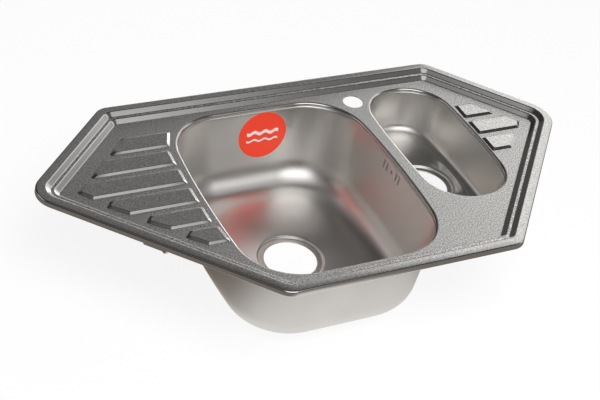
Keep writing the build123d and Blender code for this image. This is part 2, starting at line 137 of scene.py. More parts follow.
def polygon_rows(corners: np.ndarray, inset: np.ndarray, radii: np.ndarray, arc: int, run: int) -> np.ndarray:
    """Moves a polygon's sides inwards and rounds its corners, for many insets at once.

    A corner's arc centre is the corner plus (inset + radius) times its mitre vector, the sum of the
    two inward normals over one plus their product. The arc turns from one side's normal to the next.

    Args:
        corners: The polygon's corners, anticlockwise.
        inset: Inset of each row.
        radii: Corner radii of each row, one column for each corner.
        arc: Points on each corner.
        run: Points on each straight side between two corners.

    Returns:
        An array of rows, points and the two coordinates.
    """
    along = np.roll(corners, -1, 0) - corners
    along /= np.linalg.norm(along, axis=1, keepdims=True)
    inward = np.stack([-along[:, 1], along[:, 0]], 1)
    before = np.roll(inward, 1, 0)
    mitre = (before + inward) / (1 + (before * inward).sum(1, keepdims=True))
    centre = corners[None] + (inset[:, None] + radii)[..., None] * mitre[None]
    start = np.arctan2(-before[:, 1], -before[:, 0])
    turn = np.mod(np.arctan2(-inward[:, 1], -inward[:, 0]) - start, 2 * np.pi)
    angle = start[:, None] + turn[:, None] * np.linspace(0, 1, arc)[None]
    spoke = np.stack([np.cos(angle), np.sin(angle)], -1)
    arcs = centre[:, :, None] + radii[..., None, None] * spoke[None]
    share = (np.arange(1, run + 1) / (run + 1))[None, None, :, None]
    runs = arcs[:, :, -1:] * (1 - share) + np.roll(arcs, -1, 1)[:, :, :1] * share
    return np.concatenate([arcs, runs], 2).reshape(len(inset), -1, 2)


@dataclass(frozen=True)
class Barrel:
    """A bowl's outline in plan, one or many: four bowed sides joined by round corners."""

    x: np.ndarray
    y: np.ndarray
    width: np.ndarray
    length: np.ndarray
    side_bow: float
    end_bow: float
    corner: np.ndarray

    def side_radius(self) -> np.ndarray:
        """Radius of the two long sides, from their half length and bow."""
        return ((self.length / 2) ** 2 + self.side_bow ** 2) / (2 * self.side_bow)

    def end_radius(self) -> np.ndarray:
        """Radius of the two short sides, from their half length and bow."""
        return ((self.width / 2) ** 2 + self.end_bow ** 2) / (2 * self.end_bow)

    def rows(self, inset: np.ndarray) -> np.ndarray:
        """Points of the outline, moved inwards.

        The corner's centre is where the circles of radius (side radius - corner) and (end radius -
        corner) about the sides' centres cross. Every point is its arc's centre plus a spoke. The
        second half of the outline is the first one turned about the middle.

        Args:
            inset: Inset of each row.

        Returns:
            An array of rows, points and the two coordinates, anticlockwise from the right side.
        """
        side_r, end_r = self.side_radius(), self.end_radius()
        side_c, end_c = self.width / 2 - side_r, self.length / 2 - end_r
        near, far = side_r - self.corner, end_r - self.corner
        gap = np.hypot(side_c, end_c)
        along = (near ** 2 - far ** 2 + gap ** 2) / (2 * gap)
        across = np.sqrt(near ** 2 - along ** 2)
        ux, uy = -side_c / gap, end_c / gap
        corner_x = side_c + ux * along - uy * across
        corner_y = uy * along + ux * across
        low = np.arctan2(corner_y, corner_x - side_c)
        high = np.arctan2(corner_y - end_c, corner_x)
        zero = np.zeros_like(low)
        parts = []
        for sign, base in ((1, 0.0), (-1, np.pi)):
            turned = base + np.pi
            for cx, cy, radius, first, last, count in (
                    (side_c, zero, side_r, base - low, base + low, SIDE_POINTS),
                    (corner_x, corner_y, self.corner, base + low, base + high, CORNER_POINTS),
                    (zero, end_c, end_r, base + high, turned - high, END_POINTS),
                    (-corner_x, corner_y, self.corner, turned - high, turned - low, CORNER_POINTS)):
                angle = first[:, None] + (last - first)[:, None] * (np.arange(count)[None] / count)
                reach = (radius * np.ones_like(low) - inset)[:, None]
                parts.append(np.stack([(self.x + sign * cx)[:, None] + reach * np.cos(angle),
                                       (self.y + sign * cy)[:, None] + reach * np.sin(angle)], -1))
        return np.concatenate(parts, 1)


def full_turn(count: int) -> tuple[np.ndarray, np.ndarray]:
    """Cosines and sines of angles spread evenly over a full turn."""
    turn = np.linspace(0, 2 * np.pi, count, endpoint=False)
    return np.cos(turn), np.sin(turn)


def lifted(plan: np.ndarray, height: np.ndarray) -> np.ndarray:
    """Adds each row's height to rows of plan points."""
    return np.concatenate([plan, np.broadcast_to(height[:, None, None], plan.shape[:2] + (1,))], 2)


def ring_normals(grid: np.ndarray) -> np.ndarray:
    """Unit normals of a grid that closes along its rows: the cross product of its two slopes.

    Args:
        grid: Rows, columns and the three coordinates.

    Returns:
        One normal for each point.
    """
    along = np.roll(grid, -1, 1) - np.roll(grid, 1, 1)
    normal = np.cross(along, np.gradient(grid, axis=0))
    return normal / np.linalg.norm(normal, axis=2, keepdims=True)


def inside(points: np.ndarray, loop: np.ndarray) -> np.ndarray:
    """Says which points lie in a closed loop, by counting the sides that a ray to the right crosses.

    Args:
        points: Points of the plane, one row each.
        loop: The loop's corners.

    Returns:
        True or false for each point.
    """
    x, y = points[:, :1], points[:, 1:]
    ax, ay = loop[None, :, 0], loop[None, :, 1]
    bx, by = np.roll(ax, -1, 1), np.roll(ay, -1, 1)
    spans = (ay > y) != (by > y)
    rise = np.where(by == ay, 1, by - ay)
    return (spans & (x < ax + (bx - ax) * (y - ay) / rise)).sum(1) % 2 == 1


def fill(outer: np.ndarray, holes: Sequence[np.ndarray], extra: Optional[np.ndarray] = None) -> np.ndarray:
    """Fills the space between a loop and its holes with triangles.

    Args:
        outer: The outer loop.
        holes: Loops that stay open.
        extra: More points to use inside.

    Returns:
        Triangles, as indices into the points of outer, holes and extra in that order.
    """
    loops = [outer, *holes]
    points = np.concatenate(loops + ([extra] if extra is not None and len(extra) else []))
    edges, start = [], 0
    for loop in loops:
        index = np.arange(start, start + len(loop))
        edges += np.stack([index, np.roll(index, -1)], 1).tolist()
        start += len(loop)
    made = delaunay_2d_cdt([Vector(p) for p in points.tolist()], edges, [], 1, CLOSE)
    verts = np.array([tuple(v) for v in made[0]])
    origin = np.array([ids[0] if ids else -1 for ids in made[3]])
    tris = np.array([tuple(f) for f in made[2] if len(f) == 3])
    middle = verts[tris].mean(1)
    keep = inside(middle, outer)
    for hole in holes:
        keep &= ~inside(middle, hole)
    tris = origin[tris[keep]]
    tris = tris[(tris >= 0).all(1)]
    a, b, c = points[tris[:, 0]], points[tris[:, 1]], points[tris[:, 2]]
    area = (b[:, 0] - a[:, 0]) * (c[:, 1] - a[:, 1]) - (b[:, 1] - a[:, 1]) * (c[:, 0] - a[:, 0])
    sound = np.abs(area) > TINY
    return np.where((area < 0)[:, None], tris[:, ::-1], tris)[sound]


class Skin:
    """Patches of points and faces that become one mesh."""

    def __init__(self) -> None:
        """Starts with nothing in it."""
        self.points: list[np.ndarray] = []
        self.marks: list[np.ndarray] = []
        self.faces: list[list[int]] = []
        self.count = 0

    def add(self, points: np.ndarray, faces: np.ndarray, mark: Union[float, np.ndarray] = 0.0) -> None:
        """Adds points in millimetres, and faces that index them.

        Args:
            points: One row for each point.
            faces: One row for each face.
            mark: Value of the piece's mark on these points.
        """
        flat = points.reshape(-1, 3)
        self.points.append(flat)
        self.marks.append(np.broadcast_to(np.asarray(mark, float).reshape(-1), (len(flat),)))
        self.faces += (np.asarray(faces) + self.count).tolist()
        self.count += len(flat)

    def grid(self, grid: np.ndarray, looped: bool = False, skip: Optional[np.ndarray] = None,
             mark: Union[float, np.ndarray] = 0.0) -> None:
        """Adds a grid of points as four-sided faces. Its last column joins the first.

        Args:
            grid: Rows, columns and the three coordinates.
            looped: True where the last row joins the first.
            skip: Faces to leave out, one for each row and column.
            mark: Value of the piece's mark, one for each row or one for all.
        """
        index = np.arange(grid.shape[0] * grid.shape[1]).reshape(grid.shape[:2])
        index = np.concatenate([index, index[:, :1]], 1)
        if looped:
            index = np.concatenate([index, index[:1]], 0)
        quads = np.stack([index[:-1, :-1], index[:-1, 1:], index[1:, 1:], index[1:, :-1]], -1)
        if skip is not None:
            quads = quads[~skip]
        marks = np.broadcast_to(np.reshape(mark, (-1, 1)), grid.shape[:2])
        self.add(grid, quads.reshape(-1, 4), marks)

    def build(self, name: str, mark: Optional[Mark] = None) -> bpy.types.Object:
        """Makes the mesh object, with points that coincide made one.

        Args:
            name: The object's name.
            mark: The attribute that holds the marks, if the piece has one.

        Returns:
            The new object, at the origin.
        """
        mesh = bpy.data.meshes.new(name)
        mesh.from_pydata((np.concatenate(self.points) * MM).tolist(), [], self.faces)
        if mark:
            layer = mesh.attributes.new(mark.value, "FLOAT", "POINT")
            layer.data.foreach_set("value", np.concatenate(self.marks).astype(np.float32))
        work = bmesh.new()
        work.from_mesh(mesh)
        bmesh.ops.remove_doubles(work, verts=work.verts, dist=WELD)
        bmesh.ops.delete(work, geom=[v for v in work.verts if not v.link_faces], context="VERTS")
        work.to_mesh(mesh)
        work.free()
        mesh.shade_smooth()
        made = bpy.data.objects.new(name, mesh)
        bpy.context.scene.collection.objects.link(made)
        LOG.info("%s: %d points, %d faces", name, len(mesh.vertices), len(mesh.polygons))
        return made


# ---------------------------------------- shader trees
class Field:
    """One output of a shader tree. Arithmetic on it adds Math nodes."""

    def __init__(self, tree: "Tree", socket: bpy.types.NodeSocket) -> None:
        """Wraps an output of a tree."""
        self.tree, self.socket = tree, socket

    def __add__(self, other: Value) -> "Field":
        """Sum."""
        return self.tree.math(Op.ADD, self, other)

    def __sub__(self, other: Value) -> "Field":
        """Difference."""
        return self.tree.math(Op.SUBTRACT, self, other)

    def __rsub__(self, other: Value) -> "Field":
        """Difference from a number."""
        return self.tree.math(Op.SUBTRACT, other, self)

    def __mul__(self, other: Value) -> "Field":
        """Product."""
        return self.tree.math(Op.MULTIPLY, self, other)

    def __truediv__(self, other: Value) -> "Field":
        """Quotient."""
        return self.tree.math(Op.DIVIDE, self, other)

    def __rtruediv__(self, other: Value) -> "Field":
        """Quotient of a number."""
        return self.tree.math(Op.DIVIDE, other, self)

    __radd__ = __add__
    __rmul__ = __mul__

    def abs(self) -> "Field":
        """Size without its sign."""
        return self.tree.math(Op.ABSOLUTE, self)

    def step(self, low: float, high: float) -> "Field":
        """Smooth step from 0 at low to 1 at high."""
        return self.tree.node("ShaderNodeMapRange", {"interpolation_type": "SMOOTHSTEP"},
                              {"Value": self, "From Min": low, "From Max": high})

    def over(self, span: Span) -> "Field":
        """Smooth step of a length in metres over a span in millimetres."""
        return self.step(span[0] * MM, span[1] * MM)

    def blend(self, low: Colour, high: Colour) -> "Field":
        """Colour between two, by this share; a Mix node takes colours at 6 and 7 and gives one at 2."""
        return self.tree.node("ShaderNodeMix", {"data_type": "RGBA"}, {0: self, 6: low, 7: high}, 2)


@dataclass(frozen=True)
class Noise:
    """A noise: the size of its patches, its finer layers, how strong they are, and a scale for each axis."""

    size: float
    detail: float = 2.0
    rough: float = 0.5
    scale: Triple = (1.0, 1.0, 1.0)


@dataclass(frozen=True)
class Relief:
    """A bump's strength and depth."""

    strength: float
    depth: float


class Tree:
    """A node tree of a material or of the world."""

    def __init__(self, owner: Union[bpy.types.Material, bpy.types.World]) -> None:
        """Empties the owner's tree and starts with its output.

        Args:
            owner: Material or world.
        """
        owner.use_nodes = True
        self.nodes, self.links = owner.node_tree.nodes, owner.node_tree.links
        self.nodes.clear()
        kind = "ShaderNodeOutputWorld" if isinstance(owner, bpy.types.World) else "ShaderNodeOutputMaterial"
        self.output = self.nodes.new(kind)

    def plug(self, socket: bpy.types.NodeSocket, value: object) -> None:
        """Links an output to a socket, or sets its number or colour.

        Args:
            socket: The input to fill.
            value: A field, a number, a colour or a vector.
        """
        if isinstance(value, Field):
            self.links.new(value.socket, socket)
        elif isinstance(value, tuple) and socket.type == "RGBA":
            socket.default_value = (*value, 1.0)
        else:
            socket.default_value = value

    def node(self, kind: str, settings: Optional[Mapping[str, object]] = None,
             inputs: Optional[Mapping[Union[str, int], object]] = None, output: Union[str, int] = 0) -> Field:
        """Adds a node.

        Args:
            kind: The node's type.
            settings: Its properties.
            inputs: Values or links of its sockets.
            output: The output to return.

        Returns:
            The chosen output.
        """
        made = self.nodes.new(kind)
        for name, value in (settings or {}).items():
            setattr(made, name, value)
        for name, value in (inputs or {}).items():
            self.plug(made.inputs[name], value)
        return Field(self, made.outputs[output])

    def math(self, operation: Op, *values: Value) -> Field:
        """Math node on one to three values."""
        return self.node("ShaderNodeMath", {"operation": operation.value}, dict(enumerate(values)))

    def place(self) -> Field:
        """Object coordinates."""
        return self.node("ShaderNodeTexCoord", output="Object")

    def mark(self, mark: Mark) -> Field:
        """A value that the mesh keeps at its points."""
        return self.node("ShaderNodeAttribute", {"attribute_name": mark.value}, None, "Fac")

    def axes(self, vector: Field) -> tuple[Field, Field, Field]:
        """The three parts of a vector."""
        split = self.node("ShaderNodeSeparateXYZ", None, {0: vector})
        return tuple(Field(self, s) for s in split.socket.node.outputs)

    def noise(self, noise: Noise) -> Field:
        """Noise on the object's coordinates."""
        place = self.node("ShaderNodeVectorMath", {"operation": "MULTIPLY"}, {0: self.place(), 1: noise.scale})
        return self.node("ShaderNodeTexNoise", None, {
            "Vector": place, "Scale": 1 / (noise.size * MM), "Detail": noise.detail, "Roughness": noise.rough})

    def bump(self, height: Field, relief: Relief, below: Optional[Field] = None) -> Field:
        """Normal of a relief, on top of another one if given."""
        inputs = {"Height": height, "Strength": relief.strength, "Distance": relief.depth * MM}
        return self.node("ShaderNodeBump", None, inputs if below is None else {**inputs, "Normal": below})

    def surface(self, **inputs: object) -> None:
        """Principled shader with these sockets, underscores for spaces, joined to the output."""
        sockets = {name.replace("_", " "): value for name, value in inputs.items()}
        self.plug(self.output.inputs["Surface"], self.node("ShaderNodeBsdfPrincipled", None, sockets))


@dataclass(frozen=True)
class Finish:
    """A finish of the sink: its material's name and how it is made."""

    name: str

    def material(self) -> bpy.types.Material:
        """Makes the material once, and hands out the same one afterwards.

        Returns:
            The material of this finish's name.
        """
        made = bpy.data.materials.get(self.name)
        if made is None:
            made = bpy.data.materials.new(self.name)
            self.dress(Tree(made))
        return made

    def dress(self, tree: Tree) -> None:
        """Fills the material's tree."""
        raise NotImplementedError


@dataclass(frozen=True)
class DecorSteel(Finish):
    """Stainless sheet rolled with a grainy pattern; plain on its bends and on the openings' edges."""

    name: str = "grained_steel"
    pit_colour: Colour = (0.29, 0.278, 0.265)
    peak_colour: Colour = (0.93, 0.915, 0.895)
    low_roughness: float = 0.27
    raised_roughness: float = 0.16
    raised_calm: float = 0.58      # share of the shade's contrast that raised surfaces lose
    grain: Noise = Noise(2.0, 3.0, 0.65)
    grain_span: Span = (0.37, 0.64)
    grain_relief: Relief = Relief(1.0, 0.12)
    grain_roughness: float = 0.08
    broad: Noise = Noise(110.0, 1.0)
    broad_relief: Relief = Relief(0.3, 1.2)
    edge_z: Span = (-3.2, -2.3)    # heights: the pattern begins above the openings' plain edges,
    floor_z: Span = (-1.9, -1.0)   # its relief ends above the floor,
    pad_z: Span = (0.2, 0.9)       # the pads' tops begin,
    step_z: Span = (1.3, 3.5)      # and end below the rim's first step,
    crest_z: Span = (7.0, 10.5)    # and the rim's crest begins

    def dress(self, tree: Tree) -> None:
        """Noise in shade on the flats, and in relief on the floor. Raised tops and bends are smoother.

        Args:
            tree: The material's tree.
        """
        _, _, height = tree.axes(tree.place())
        worn = tree.mark(Mark.WORN)
        grain = tree.noise(self.grain)
        rolled = height.over(self.edge_z) * (1 - worn)
        relief = rolled * (1 - height.over(self.floor_z))
        tops = height.over(self.pad_z) * (1 - height.over(self.step_z)) + height.over(self.crest_z)
        raised = tree.math(Op.MAXIMUM, tops, worn)
        shade = (grain.step(*self.grain_span) - 0.5) * rolled * (1 - raised * self.raised_calm) + 0.5
        polish = self.low_roughness + raised * (self.raised_roughness - self.low_roughness)
        wavy = tree.bump(tree.noise(self.broad), self.broad_relief)
        tree.surface(
            Base_Color=shade.blend(self.pit_colour, self.peak_colour),
            Metallic=1.0, Roughness=polish + grain * self.grain_roughness * relief,
            Normal=tree.bump(grain * relief, self.grain_relief, wavy))


@dataclass(frozen=True)
class BowlSteel(Finish):
    """Drawn stainless bowl: satin inside, duller and darker outside."""

    name: str = "drawn_steel"
    colour: Colour = (0.77, 0.75, 0.725)
    outside_colour: Colour = (0.70, 0.68, 0.65)
    roughness: float = 0.31
    outside_roughness: float = 0.52
    streak: Noise = Noise(1.2, 2.0, 0.6, (1.0, 1.0, 0.12))
    streak_roughness: float = 0.03
    cloud: Noise = Noise(60.0)
    cloud_relief: Relief = Relief(0.15, 0.8)
    cloud_roughness: float = 0.06
    outside_cloud: float = 0.10
    fine: Noise = Noise(0.5, 1.0)
    fine_relief: Relief = Relief(0.12, 0.05)

    def dress(self, tree: Tree) -> None:
        """The mark says inside or outside; faint drawing streaks run up the walls.

        Args:
            tree: The material's tree.
        """
        outside = tree.mark(Mark.OUTSIDE)
        streaks = tree.noise(self.streak)
        cloud = tree.noise(self.cloud)
        smooth = self.roughness + cloud * self.cloud_roughness + streaks * self.streak_roughness
        dull = self.outside_roughness + cloud * self.outside_cloud
        soft = tree.bump(cloud, self.cloud_relief)
        tree.surface(
            Base_Color=outside.blend(self.colour, self.outside_colour),
            Metallic=1.0, Roughness=smooth + (dull - smooth) * outside,
            Normal=tree.bump(tree.noise(self.fine) + streaks, self.fine_relief, soft))


@dataclass(frozen=True)
class LabelFilm(Finish):
    """Glossy red film with a plain white print of waves."""

    name: str = "red_film"
    colour: Colour = (0.93, 0.05, 0.015)
    print_colour: Colour = (0.88, 0.80, 0.76)
    centre_x: float = -22.5
    centre_z: float = -56.0
    half_print: float = 30.0
    half_waves: int = 3            # on each side of the middle
    bars: tuple[Triple, Triple] = ((5.0, 2.2, 3.0), (-10.0, 1.8, 1.5))   # middle, swing and half width
    blur: float = 0.5
    ends: Span = (0.97, 1.0)
    roughness: float = 0.32
    cloud: Noise = Noise(25.0)
    cloud_roughness: float = 0.08
    ripple: Noise = Noise(3.0)
    ripple_relief: Relief = Relief(0.08, 0.1)
    coat: float = 0.35
    coat_roughness: float = 0.18

    def dress(self, tree: Tree) -> None:
        """Two bars bent to a sine wave: a bold one over a fine one, each ending short of the rim.

        Args:
            tree: The material's tree.
        """
        x, _, z = tree.axes(tree.place())
        across = (x / MM - self.centre_x) / self.half_print
        up = z / MM - self.centre_z
        wave = tree.math(Op.SINE, across * (math.pi * self.half_waves))
        bold, fine = (1 - (up - middle - wave * swing).abs().step(half, half + self.blur)
                      for middle, swing, half in self.bars)
        printed = tree.math(Op.MAXIMUM, bold, fine) * (1 - across.abs().step(*self.ends))
        tree.surface(
            Base_Color=printed.blend(self.colour, self.print_colour),
            Roughness=self.roughness + tree.noise(self.cloud) * self.cloud_roughness,
            Coat_Weight=self.coat, Coat_Roughness=self.coat_roughness,
            Normal=tree.bump(tree.noise(self.ripple), self.ripple_relief))


@dataclass(frozen=True)
class SealFoam(Finish):
    """Dark closed-cell foam."""

    name: str = "black_foam"
    cell_colour: Colour = (0.055, 0.055, 0.06)
    gap_colour: Colour = (0.03, 0.03, 0.032)
    cell_size: float = 0.7
    cell_span: Span = (0.0, 0.8)
    cell_relief: Relief = Relief(0.5, 0.25)
    roughness: float = 0.85
    mottle: Noise = Noise(6.0)
    mottle_roughness: float = 0.1

    def dress(self, tree: Tree) -> None:
        """Small round cells in relief, with a little colour between them.

        Args:
            tree: The material's tree.
        """
        cells = tree.node("ShaderNodeTexVoronoi", None, {
            "Vector": tree.place(), "Scale": 1 / (self.cell_size * MM)})
        tree.surface(
            Base_Color=cells.step(*self.cell_span).blend(self.cell_colour, self.gap_colour),
            Roughness=self.roughness + tree.noise(self.mottle) * self.mottle_roughness,
            Normal=tree.bump(cells, self.cell_relief))


@dataclass(frozen=True)
class BitumenFelt(Finish):
    """Grey pressed felt pad."""

    name: str = "grey_felt"
    dark: Colour = (0.11, 0.11, 0.115)
    bright: Colour = (0.17, 0.17, 0.172)
    mottle: Noise = Noise(12.0, 3.0, 0.6)
    mottle_span: Span = (0.3, 0.7)
    fibre: Noise = Noise(0.8, 4.0, 0.7, (1.0, 0.35, 1.0))
    fibre_relief: Relief = Relief(0.4, 0.3)
    roughness: float = 0.8
    fibre_roughness: float = 0.15

    def dress(self, tree: Tree) -> None:
        """Fibres as fine stretched noise over a mottled ground.

        Args:
            tree: The material's tree.
        """
        fibre = tree.noise(self.fibre)
        mottle = tree.noise(self.mottle)
        tree.surface(
            Base_Color=mottle.step(*self.mottle_span).blend(self.dark, self.bright),
            Roughness=self.roughness + fibre * self.fibre_roughness, Normal=tree.bump(fibre, self.fibre_relief))


@dataclass(frozen=True)
class ZincPlate(Finish):
    """Bright zinc on steel, with its faint clouding."""

    name: str = "bright_zinc"
    colour: Colour = (0.66, 0.67, 0.69)
    roughness: float = 0.32
    cloud: Noise = Noise(7.0, 3.0, 0.6)
    cloud_span: Span = (0.3, 0.7)
    cloud_shades: Span = (0.84, 1.12)
    cloud_roughness: float = 0.14
    grain: Noise = Noise(0.6, 2.0, 0.6)
    grain_relief: Relief = Relief(0.2, 0.08)

    def dress(self, tree: Tree) -> None:
        """Large soft clouds shift the colour and the gloss; fine grain gives a soft relief.

        Args:
            tree: The material's tree.
        """
        cloud = tree.noise(self.cloud)
        dark, bright = (tuple(min(1.0, part * shade) for part in self.colour) for shade in self.cloud_shades)
        tree.surface(
            Base_Color=cloud.step(*self.cloud_span).blend(dark, bright), Metallic=1.0,
            Roughness=self.roughness + cloud * self.cloud_roughness,
            Normal=tree.bump(tree.noise(self.grain), self.grain_relief))


# ---------------------------------------- the sink's pieces
@dataclass
class Rim:
    """The deck's outline and the stepped section of its rim."""

    corners: tuple = ((-302.8, 8.5), (-479.7, -178.5), (-186.5, -491.5), (213.5, -491.5), (479.9, -191.0),
                      (316.8, 8.5))
    section: tuple = ((3.4, 0.7), (2.2, 0.0), (0.1, 1.8), (1.0, 10.3), (16.4, 11.0), (23.7, 4.5),
                      (29.6, 4.5), (36.8, -2.0), (39.4, -2.0))
    bends: tuple = (0.5, 1.2, 3.0, 3.6, 3.0, 3.6, 3.0)
    depths: tuple = (0.0, 16.4, 23.7, 29.6, 36.8, 39.4)
    plain_rounds: tuple = (30.0, 20.0, 13.0, 16.0, 10.0, 8.0)
    left_tip_rounds: tuple = (44.0, 27.6, 20.3, 14.4, 7.2, 5.0)
    right_tip_rounds: tuple = (52.0, 35.6, 28.3, 22.4, 15.2, 12.6)

    def line(self) -> np.ndarray:
        """The section's rounded line, from inside the lip to the floor."""
        return rounded_line(self.section, self.bends, steps=9)

    def grid(self) -> np.ndarray:
        """The section carried round the outline: row by row, the outline moved in and lifted.

        Returns:
            Rows, points and the three coordinates.
        """
        line = self.line()
        inset, height = line[:, 0], line[:, 1]
        plain, left, right = (np.interp(inset, self.depths, rounds) for rounds in
                              (self.plain_rounds, self.left_tip_rounds, self.right_tip_rounds))
        radii = np.stack([plain, left, plain, plain, right, plain], 1)
        return lifted(polygon_rows(np.array(self.corners), inset, radii, arc=15, run=20), height)


@dataclass
class Pads:
    """The drainers' raised pads: tops as measured corners, with sloping sides."""

    rise: float = 3.0
    slope: float = 4.6
    bend: float = 2.0
    floor: float = -2.0
    beyond: float = 0.9            # flat of the section outside its foot
    within: float = 1.4            # and inside its crest
    rounds: Triple = (3.4, 2.4, 1.6)   # in plan: at the foot, the crest and the innermost row
    tops: tuple = (
        ((-224.6, -101.4), (-212.7, -71.2), (-287.6, -71.2), (-314.6, -101.4)),
        ((-232.3, -150.2), (-231.0, -120.0), (-333.8, -120.0), (-361.4, -150.2)),
        ((-233.0, -199.0), (-232.2, -168.8), (-378.9, -168.8), (-394.0, -183.0), (-380.3, -199.0)),
        ((-232.6, -247.8), (-232.8, -217.6), (-355.2, -217.6), (-362.4, -226.8), (-338.9, -247.8)),
        ((-232.2, -296.6), (-232.4, -266.4), (-310.2, -266.4), (-317.2, -275.3), (-291.7, -296.6)),
        ((-222.6, -344.6), (-226.4, -315.2), (-265.3, -315.2), (-273.3, -323.6), (-250.4, -344.6)),
        ((317.7, -120.0), (316.9, -150.2), (368.4, -150.2), (344.3, -120.0)),
        ((316.6, -169.2), (316.3, -199.1), (393.0, -199.1), (401.1, -187.3), (386.9, -169.2)),
        ((315.5, -217.7), (314.7, -247.9), (347.2, -247.9), (370.3, -223.8), (366.2, -217.7)),
    )

    def line(self) -> np.ndarray:
        """Section of a pad's side: from beyond its foot up the slope to just inside its crest."""
        return rounded_line(((-self.slope - self.beyond, 0), (-self.slope, 0), (0, self.rise),
                             (self.within, self.rise)), (self.bend, self.bend), steps=6)

    def grids(self) -> list[np.ndarray]:
        """Each pad's side, from the deck's floor to its top: the section carried round its corners.

        Returns:
            A grid for each pad.
        """
        line = self.line()
        inset = line[:, 0]
        radius = np.interp(inset, (-self.slope, 0, self.within), self.rounds)
        made = []
        for top in self.tops:
            radii = np.repeat(radius[:, None], len(top), 1)
            rows = polygon_rows(np.array(top), inset, radii, arc=7, run=5)
            made.append(lifted(rows, self.floor + line[:, 1]))
        return made


@dataclass
class Bowl:
    """One bowl: its opening, leaning walls, round foot, dished floor and waste hole."""

    name: str
    x: float
    y: float
    width: float
    length: float
    side_bow: float
    end_bow: float
    corner: float
    foot_corner: float
    left: float
    right: float
    front: float
    back: float
    foot_z: float
    foot_round: float
    drop: float
    waste_shift: float
    recess: float
    hole: float = 45.0
    top_z: float = -8.0
    recess_depth: float = 4.0
    recess_lip: Span = (3.0, 0.4)      # where the floor ends: how far outside the recess, and how much higher
    recess_lean: float = 2.2
    recess_rounds: Triple = (2.0, 2.4, 0.4)
    hole_edge: Span = (1.0, 0.4)
    ease: float = 0.3                  # share of the floor's way on which its slope begins
    clear: float = 1.02                # thicknesses of the sheet between its face and what is glued under it
    slots: bool = False

    def section(self, height: np.ndarray) -> Barrel:
        """The walls' outline at heights: each wall leans in evenly from the top to the foot.

        Args:
            height: Heights of the outlines.

        Returns:
            The outlines.
        """
        share = (self.top_z - height) / (self.top_z - self.foot_z)
        return Barrel(
            self.x + (self.left - self.right) / 2 * share, self.y + (self.front - self.back) / 2 * share,
            self.width - (self.left + self.right) * share, self.length - (self.front + self.back) * share,
            self.side_bow, self.end_bow, self.corner + (self.foot_corner - self.corner) * share)

    def mouth(self, fillet: float, flat: float, floor: float) -> np.ndarray:
        """The deck's turned-down edge: a rounded section carried round the opening.

        Args:
            fillet: Radius of the edge.
            flat: Width of the floor that goes with it.
            floor: Height of the deck's floor.

        Returns:
            Rows, points and the three coordinates.
        """
        line = rounded_line(((-fillet - flat, floor), (0, floor), (0, self.top_z)), (fillet,), steps=12)
        opening = self.section(np.full(len(line), self.top_z))
        return lifted(opening.rows(line[:, 0]), line[:, 1])

    def waste(self) -> np.ndarray:
        """Middle of the waste hole in plan."""
        return np.array([self.x + self.waste_shift, self.y])

    def wall_heights(self) -> np.ndarray:
        """Heights of the rows on the straight part of the walls."""
        return np.linspace(self.top_z, self.foot_z + self.foot_round, WALL_ROWS)

    def inner(self) -> np.ndarray:
        """Inner skin, from the top edge to the waste hole.

        Walls: the leaning outline. Foot: inset R(1 - cos a) at height foot + R(1 - sin a). Floor:
        straight lines in plan from the foot to the recess, sinking by an eased share of the drop.
        Recess: a rounded section turned about the waste.

        Returns:
            Rows, points and the three coordinates.
        """
        heights = self.wall_heights()
        walls = lifted(self.section(heights).rows(np.zeros(len(heights))), heights)
        angle = np.linspace(0, np.pi / 2, FOOT_ROWS)[1:]
        height = self.foot_z + self.foot_round * (1 - np.sin(angle))
        foot = lifted(self.section(height).rows(self.foot_round * (1 - np.cos(angle))), height)
        centre = self.waste()
        edge = foot[-1, :, :2]
        spoke = edge - centre
        spoke /= np.linalg.norm(spoke, axis=1, keepdims=True)
        low = self.foot_z - self.drop
        bottom = low - self.recess_depth
        line = rounded_line(
            ((self.recess + self.recess_lip[0], low + self.recess_lip[1]), (self.recess, low),
             (self.recess - self.recess_lean, bottom), (self.hole + self.hole_edge[0], bottom),
             (self.hole, bottom - self.hole_edge[1])), self.recess_rounds, steps=6)
        rim = centre + spoke * line[0, 0]
        share = np.linspace(0, 1, FLOOR_ROWS)[1:-1]
        plan = edge[None] * (1 - share)[:, None, None] + rim[None] * share[:, None, None]
        floor = lifted(plan, self.floor_z(share))
        recess = lifted(centre + spoke[None] * line[:, :1, None], line[:, 1])
        return np.concatenate([walls, foot, floor, recess])

    def floor_z(self, share: np.ndarray) -> np.ndarray:
        """Height of the dished floor at a share of the way to the recess: level first, then a plain slope."""
        sunk = np.where(share < self.ease, share ** 2 / (2 * self.ease), share - self.ease / 2)
        return self.foot_z - (self.drop - self.recess_lip[1]) * (sunk / (1 - self.ease / 2))

    def under_floor(self, reach: np.ndarray, gap: np.ndarray) -> np.ndarray:
        """Rings about the waste, a gap below the floor's outside.

        Each spoke from the waste meets the foot at its own distance, which gives a ring's share of
        the way, and so its height.

        Args:
            reach: Radius of each ring.
            gap: How far below the sheet each ring lies, one for each ring.

        Returns:
            A grid of rings.
        """
        flat = self.section(np.array([self.foot_z])).rows(np.array([self.foot_round]))[0]
        centre = self.waste()
        away = flat - centre
        far = np.linalg.norm(away, axis=1)
        share = (far[None] - reach[:, None]) / (far[None] - self.recess - self.recess_lip[0])
        plan = centre + (away / far[:, None])[None] * reach[:, None, None]
        height = self.floor_z(np.clip(share, 0, 1)) - SHEET * self.clear - gap[:, None]
        return np.concatenate([plan, height[..., None]], 2)

    def wall_x(self, y: np.ndarray, z: np.ndarray) -> np.ndarray:
        """X of the right wall: its side arc's centre plus the arc's reach at that Y."""
        line, bend = self.section(z), self.section(z).side_radius()
        return line.x + line.width / 2 - bend + np.sqrt(bend ** 2 - (y - line.y) ** 2)

